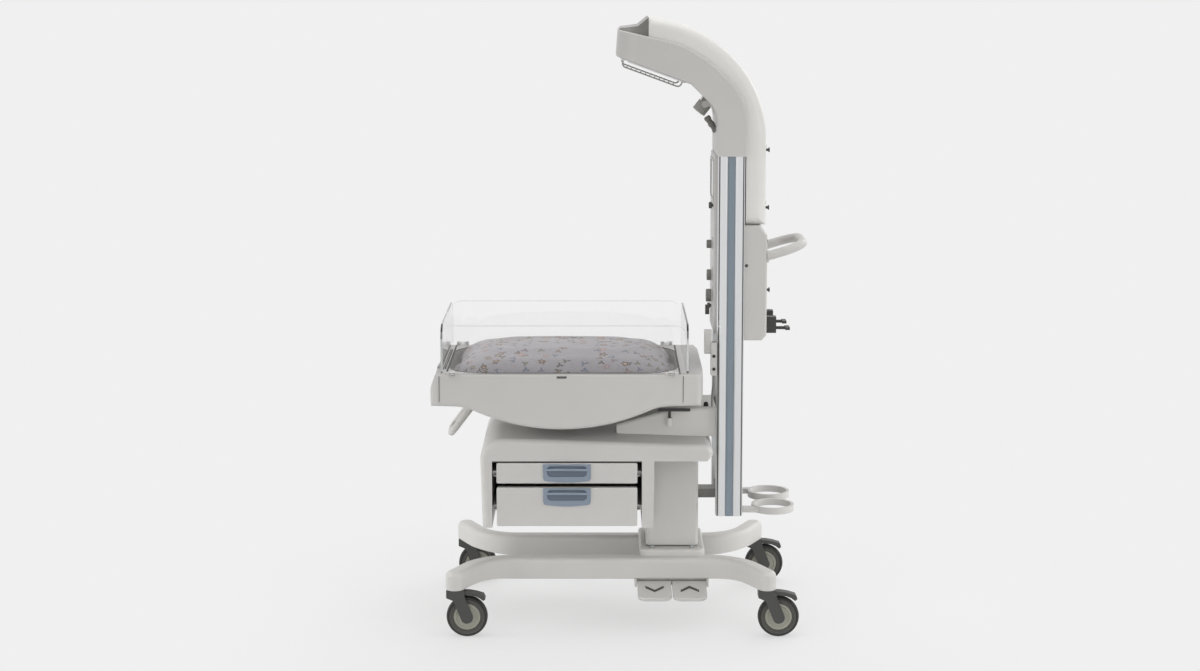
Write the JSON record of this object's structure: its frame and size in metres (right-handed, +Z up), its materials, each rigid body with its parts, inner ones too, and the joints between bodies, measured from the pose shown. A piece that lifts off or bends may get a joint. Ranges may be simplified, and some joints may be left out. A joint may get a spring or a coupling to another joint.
{
  "type": "infant radiant warmer",
  "caption": "Infant radiant warmer: tilting bed with clear panels and drawers on a telescopic lift column, with an arched heater head on posts and braked casters.",
  "frame": {"origin": "on the floor under the middle of the overall box", "axes": "+Z up; +X from the bed's foot end towards the posts and heater; -Y is the right-hand side, where the drawers open"},
  "size_m": [1.164, 0.6564, 1.865],
  "materials": {
    "warm_grey_plastic": "moulded, fine satin texture",
    "light_grey_enamel": "smooth powder coat",
    "anodised_aluminium": "satin anodised extrusion",
    "slate_blue_plastic": "extruded insert",
    "blue_grey_plastic": "moulded pull",
    "steel": "turned or drawn",
    "bright_reflector": "polished aluminium sheet",
    "charcoal_plastic": "glass-filled nylon",
    "grey_tyre": "non-marking rubber on a nylon wheel centre",
    "dark_control": "moulded knob",
    "smoked_lens": "smoked translucent lens",
    "display_glass": "dark display window",
    "clear_acrylic": "clear cast acrylic sheet",
    "quilted_cover": "printed cotton cover over foam",
    "element_sheath": "quartz-like heater tube",
    "hose_rubber": "grey silicone hose"
  },
  "bodies": {
    "base": {"base_legs": "light_grey_enamel", "cross_frame": "light_grey_enamel", "inner_mast": "steel", "lift_actuator": "steel"},
    "middle_stage": {"middle_mast": "anodised_aluminium"},
    "carriage": {"outer_sleeve": "light_grey_enamel", "platform_frame": "steel", "cabinet_shell": "warm_grey_plastic", "bed_support_arm": "warm_grey_plastic", "posts": "anodised_aluminium", "post_strips": "slate_blue_plastic", "post_brace": "light_grey_enamel", "console": "warm_grey_plastic", "display": "display_glass", "rear_box": "warm_grey_plastic", "push_handle": "warm_grey_plastic", "rear_fittings": "dark_control", "tank_rings": "warm_grey_plastic", "accessory_bracket": "warm_grey_plastic", "hose": "hose_rubber", "head_shell": "warm_grey_plastic", "head_spine": "warm_grey_plastic", "alarm_lens": "smoked_lens", "heater_reflector": "bright_reflector", "heater_element": "element_sheath", "heater_guard": "steel"},
    "upper_drawer_set": {"upper_drawer": "warm_grey_plastic", "upper_pull": "blue_grey_plastic"},
    "lower_drawer_set": {"lower_drawer": "warm_grey_plastic", "lower_pull": "blue_grey_plastic"},
    "bed": {"bed_hull": "warm_grey_plastic", "bed_end_caps": "warm_grey_plastic", "bed_pins": "steel", "mattress": "quilted_cover", "head_panel": "clear_acrylic"},
    "right_side": {"right_panel": "clear_acrylic"},
    "left_side": {"left_panel": "clear_acrylic"},
    "foot_side": {"foot_panel": "clear_acrylic"},
    "tilt_grip": {"tilt_handle": "warm_grey_plastic"},
    "bed_release": {"release_lever": "dark_control"},
    "lamp": {"exam_lamp": "warm_grey_plastic"},
    "oxygen_control": {"oxygen_knob": "dark_control"},
    "flow_control": {"flow_knob": "dark_control"},
    "pressure_control": {"pressure_knob": "dark_control"},
    "circuit_control": {"circuit_lever": "dark_control"},
    "alarm_control": {"alarm_button": "dark_control"},
    "pedal_down": {"down_pedal": "warm_grey_plastic"},
    "pedal_up": {"up_pedal": "warm_grey_plastic"},
    "front_right_swivel": {"front_right_fork": "charcoal_plastic"},
    "front_right_roller": {"front_right_wheel": "grey_tyre"},
    "front_right_lock": {"front_right_brake": "charcoal_plastic"},
    "front_left_swivel": {"front_left_fork": "charcoal_plastic"},
    "front_left_roller": {"front_left_wheel": "grey_tyre"},
    "front_left_lock": {"front_left_brake": "charcoal_plastic"},
    "rear_right_swivel": {"rear_right_fork": "charcoal_plastic"},
    "rear_right_roller": {"rear_right_wheel": "grey_tyre"},
    "rear_right_lock": {"rear_right_brake": "charcoal_plastic"},
    "rear_left_swivel": {"rear_left_fork": "charcoal_plastic"},
    "rear_left_roller": {"rear_left_wheel": "grey_tyre"},
    "rear_left_lock": {"rear_left_brake": "charcoal_plastic"}
  },
  "joints": [
    {"name": "lift", "type": "slide", "parent": "base", "child": "carriage", "axis": [0, 0, 1], "range_m": [0, 0.3]},
    {"name": "middle_lift", "type": "slide", "parent": "base", "child": "middle_stage", "axis": [0, 0, 1], "range_m": [0, 0.15]},
    {"name": "upper_drawer_slide", "type": "slide", "parent": "carriage", "child": "upper_drawer_set", "axis": [0, -1, 0], "range_m": [0, 0.3]},
    {"name": "lower_drawer_slide", "type": "slide", "parent": "carriage", "child": "lower_drawer_set", "axis": [0, -1, 0], "range_m": [0, 0.3]},
    {"name": "bed_tilt", "type": "hinge", "parent": "carriage", "child": "bed", "pos_m": [-0.172, 0, 0.69], "axis": [0, 1, 0], "range_deg": [-10, 10]},
    {"name": "right_panel_hinge", "type": "hinge", "parent": "bed", "child": "right_side", "pos_m": [-0.17, -0.268, 0.806], "axis": [1, 0, 0], "range_deg": [0, 175]},
    {"name": "left_panel_hinge", "type": "hinge", "parent": "bed", "child": "left_side", "pos_m": [-0.17, 0.268, 0.806], "axis": [-1, 0, 0], "range_deg": [0, 175]},
    {"name": "foot_panel_hinge", "type": "hinge", "parent": "bed", "child": "foot_side", "pos_m": [-0.548, 0, 0.806], "axis": [0, -1, 0], "range_deg": [0, 90]},
    {"name": "tilt_handle_squeeze", "type": "hinge", "parent": "bed", "child": "tilt_grip", "pos_m": [-0.446, 0, 0.673], "axis": [0, 1, 0], "range_deg": [0, 20], "stiffness_Nm_per_rad": 6, "springref_deg": -11.46},
    {"name": "bed_release_swing", "type": "hinge", "parent": "carriage", "child": "bed_release", "pos_m": [0.159, -0.114, 0.64], "axis": [0, 0, -1], "range_deg": [0, 25]},
    {"name": "lamp_tilt", "type": "hinge", "parent": "carriage", "child": "lamp", "pos_m": [0.267, 0, 1.5985], "axis": [0, 1, 0], "range_deg": [-20, 20]},
    {"name": "oxygen_turn", "type": "hinge", "parent": "carriage", "child": "oxygen_control", "pos_m": [0.292, -0.045, 1.169], "axis": [-1, 0, 0], "range_deg": [0, 270]},
    {"name": "flow_turn", "type": "hinge", "parent": "carriage", "child": "flow_control", "pos_m": [0.292, -0.045, 1.073], "axis": [-1, 0, 0], "range_deg": [0, 270]},
    {"name": "pressure_turn", "type": "hinge", "parent": "carriage", "child": "pressure_control", "pos_m": [0.292, -0.045, 1.009], "axis": [-1, 0, 0], "range_deg": [0, 270]},
    {"name": "circuit_turn", "type": "hinge", "parent": "carriage", "child": "circuit_control", "pos_m": [0.292, 0.035, 0.965], "axis": [-1, 0, 0], "range_deg": [0, 90]},
    {"name": "alarm_press", "type": "slide", "parent": "carriage", "child": "alarm_control", "axis": [1, 0, 0], "range_m": [0, 0.003], "stiffness_N_per_m": 400, "springref_m": -0.002},
    {"name": "down_pedal_press", "type": "hinge", "parent": "base", "child": "pedal_down", "pos_m": [0.1665, -0.15, 0.122], "axis": [1, 0, 0], "range_deg": [0, 8], "stiffness_Nm_per_rad": 20, "springref_deg": -11.46},
    {"name": "up_pedal_press", "type": "hinge", "parent": "base", "child": "pedal_up", "pos_m": [0.1665, -0.15, 0.122], "axis": [1, 0, 0], "range_deg": [0, 8], "stiffness_Nm_per_rad": 20, "springref_deg": -11.46},
    {"name": "front_right_swivel_turn", "type": "hinge", "parent": "base", "child": "front_right_swivel", "pos_m": [-0.495, -0.3, 0.15], "axis": [0, 0, 1], "continuous": true},
    {"name": "front_right_wheel_roll", "type": "hinge", "parent": "front_right_swivel", "child": "front_right_roller", "pos_m": [-0.459, -0.3, 0.0625], "axis": [0, 1, 0], "continuous": true},
    {"name": "front_right_brake_press", "type": "hinge", "parent": "front_right_swivel", "child": "front_right_lock", "pos_m": [-0.475, -0.3, 0.137], "axis": [0, 1, 0], "range_deg": [0, 6]},
    {"name": "front_left_swivel_turn", "type": "hinge", "parent": "base", "child": "front_left_swivel", "pos_m": [-0.495, 0.3, 0.15], "axis": [0, 0, 1], "continuous": true},
    {"name": "front_left_wheel_roll", "type": "hinge", "parent": "front_left_swivel", "child": "front_left_roller", "pos_m": [-0.459, 0.3, 0.0625], "axis": [0, 1, 0], "continuous": true},
    {"name": "front_left_brake_press", "type": "hinge", "parent": "front_left_swivel", "child": "front_left_lock", "pos_m": [-0.475, 0.3, 0.137], "axis": [0, 1, 0], "range_deg": [0, 6]},
    {"name": "rear_right_swivel_turn", "type": "hinge", "parent": "base", "child": "rear_right_swivel", "pos_m": [0.45, -0.3, 0.15], "axis": [0, 0, 1], "continuous": true},
    {"name": "rear_right_wheel_roll", "type": "hinge", "parent": "rear_right_swivel", "child": "rear_right_roller", "pos_m": [0.486, -0.3, 0.0625], "axis": [0, 1, 0], "continuous": true},
    {"name": "rear_right_brake_press", "type": "hinge", "parent": "rear_right_swivel", "child": "rear_right_lock", "pos_m": [0.47, -0.3, 0.137], "axis": [0, 1, 0], "range_deg": [0, 6]},
    {"name": "rear_left_swivel_turn", "type": "hinge", "parent": "base", "child": "rear_left_swivel", "pos_m": [0.45, 0.3, 0.15], "axis": [0, 0, 1], "continuous": true},
    {"name": "rear_left_wheel_roll", "type": "hinge", "parent": "rear_left_swivel", "child": "rear_left_roller", "pos_m": [0.486, 0.3, 0.0625], "axis": [0, 1, 0], "continuous": true},
    {"name": "rear_left_brake_press", "type": "hinge", "parent": "rear_left_swivel", "child": "rear_left_lock", "pos_m": [0.47, 0.3, 0.137], "axis": [0, 1, 0], "range_deg": [0, 6]}
  ],
  "couplings": [
    {"joint": "middle_lift", "follows": "lift", "ratio": 0.5}
  ]
}
